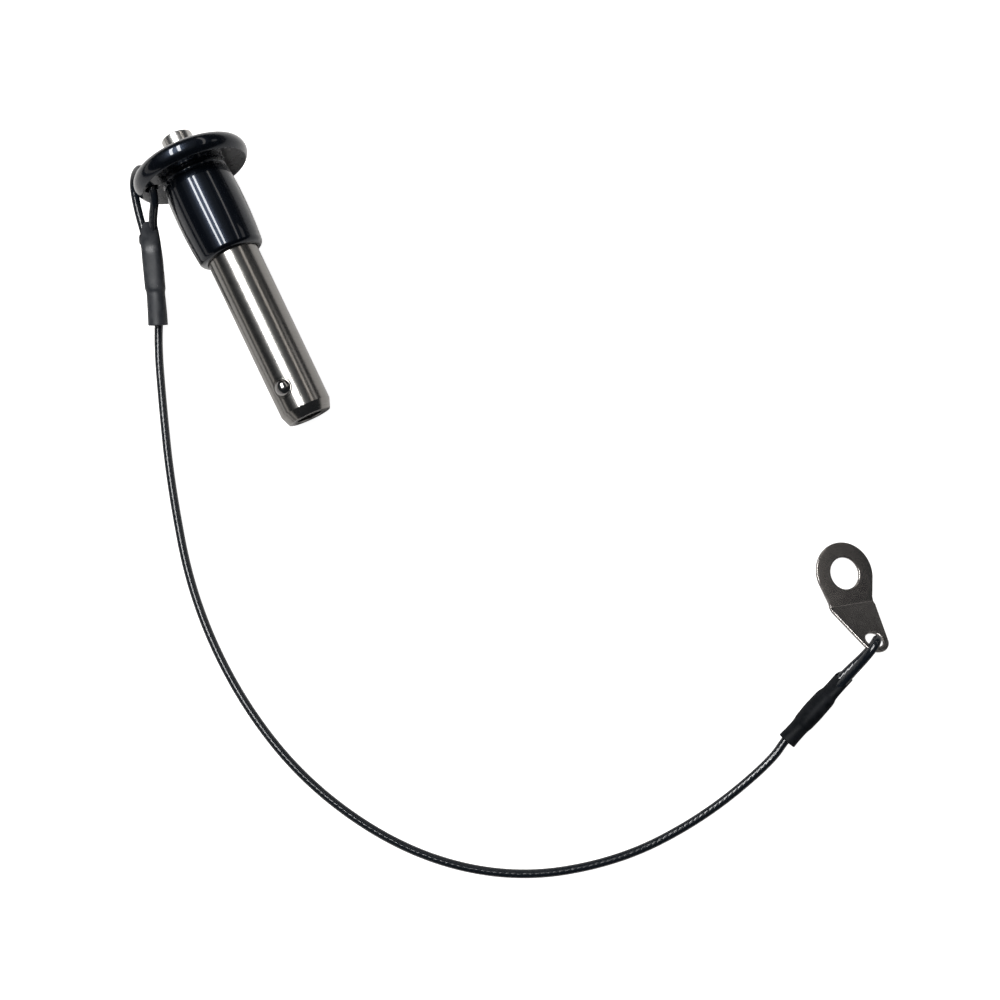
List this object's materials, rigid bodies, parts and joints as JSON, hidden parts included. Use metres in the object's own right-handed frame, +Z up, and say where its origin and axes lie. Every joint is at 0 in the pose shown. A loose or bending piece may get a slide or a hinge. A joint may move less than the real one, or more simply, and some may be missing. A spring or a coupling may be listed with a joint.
{
  "type": "ball-lock quick release pin with lanyard",
  "caption": "Push-button ball-lock pin with a flanged handle, on a coated wire lanyard that ends in a bent metal fixing tab.",
  "frame": {"origin": "on the table, below the middle of the pin's box, without the lanyard and what is on it", "axes": "+X along the pin on the table, from the handle to the nose; +Z up; the lanyard lies on the -Y side and past the nose"},
  "size_m": [0.2025, 0.1519, 0.0286],
  "materials": {
    "black_anodised": "glossy black anodised, turned",
    "shank_steel": "finely ground stainless steel",
    "spindle_steel": "turned stainless steel",
    "button_steel": "satin stainless steel",
    "spring_wire": "drawn spring wire",
    "ball_steel": "polished bearing ball",
    "cable_coat": "thin black coat over twisted wire rope",
    "ferrule_metal": "crimped aluminium",
    "shrink_sleeve": "matt shrunk tubing",
    "tab_steel": "tumbled stainless sheet"
  },
  "bodies": {
    "pin": {"handle": "black_anodised", "shank": "shank_steel", "return_spring": "spring_wire", "lanyard_cable": "cable_coat", "handle_ferrule": "ferrule_metal", "tab_ferrule": "ferrule_metal", "handle_shrink_sleeve": "shrink_sleeve", "tab_shrink_sleeve": "shrink_sleeve"},
    "plunger": {"push_button": "button_steel", "spindle": "spindle_steel"},
    "upper_ball": {"ball_upper": "ball_steel"},
    "lower_ball": {"ball_lower": "ball_steel"},
    "tab": {"fixing_tab": "tab_steel"}
  },
  "joints": [
    {"name": "button_press", "type": "slide", "parent": "pin", "child": "plunger", "axis": [0.9922, 0, -0.1243], "range_m": [0, 0.0046], "stiffness_N_per_m": 2000, "deforming": ["return_spring"]},
    {"name": "upper_ball_drop", "type": "slide", "parent": "pin", "child": "upper_ball", "axis": [-0.1127, 0.4226, -0.8993], "range_m": [0, 0.00128]},
    {"name": "lower_ball_drop", "type": "slide", "parent": "pin", "child": "lower_ball", "axis": [0.1127, -0.4226, 0.8993], "range_m": [0, 0.00128]},
    {"name": "tab_swing", "type": "hinge", "parent": "pin", "child": "tab", "pos_m": [0.14355, 0.09646, 0.0087], "axis": [-0.485, 0.3791, 0.7881], "range_deg": [-20, 35]}
  ],
  "couplings": [
    {"joint": "upper_ball_drop", "follows": "button_press", "ratio": 0.27826},
    {"joint": "lower_ball_drop", "follows": "button_press", "ratio": 0.27826}
  ]
}
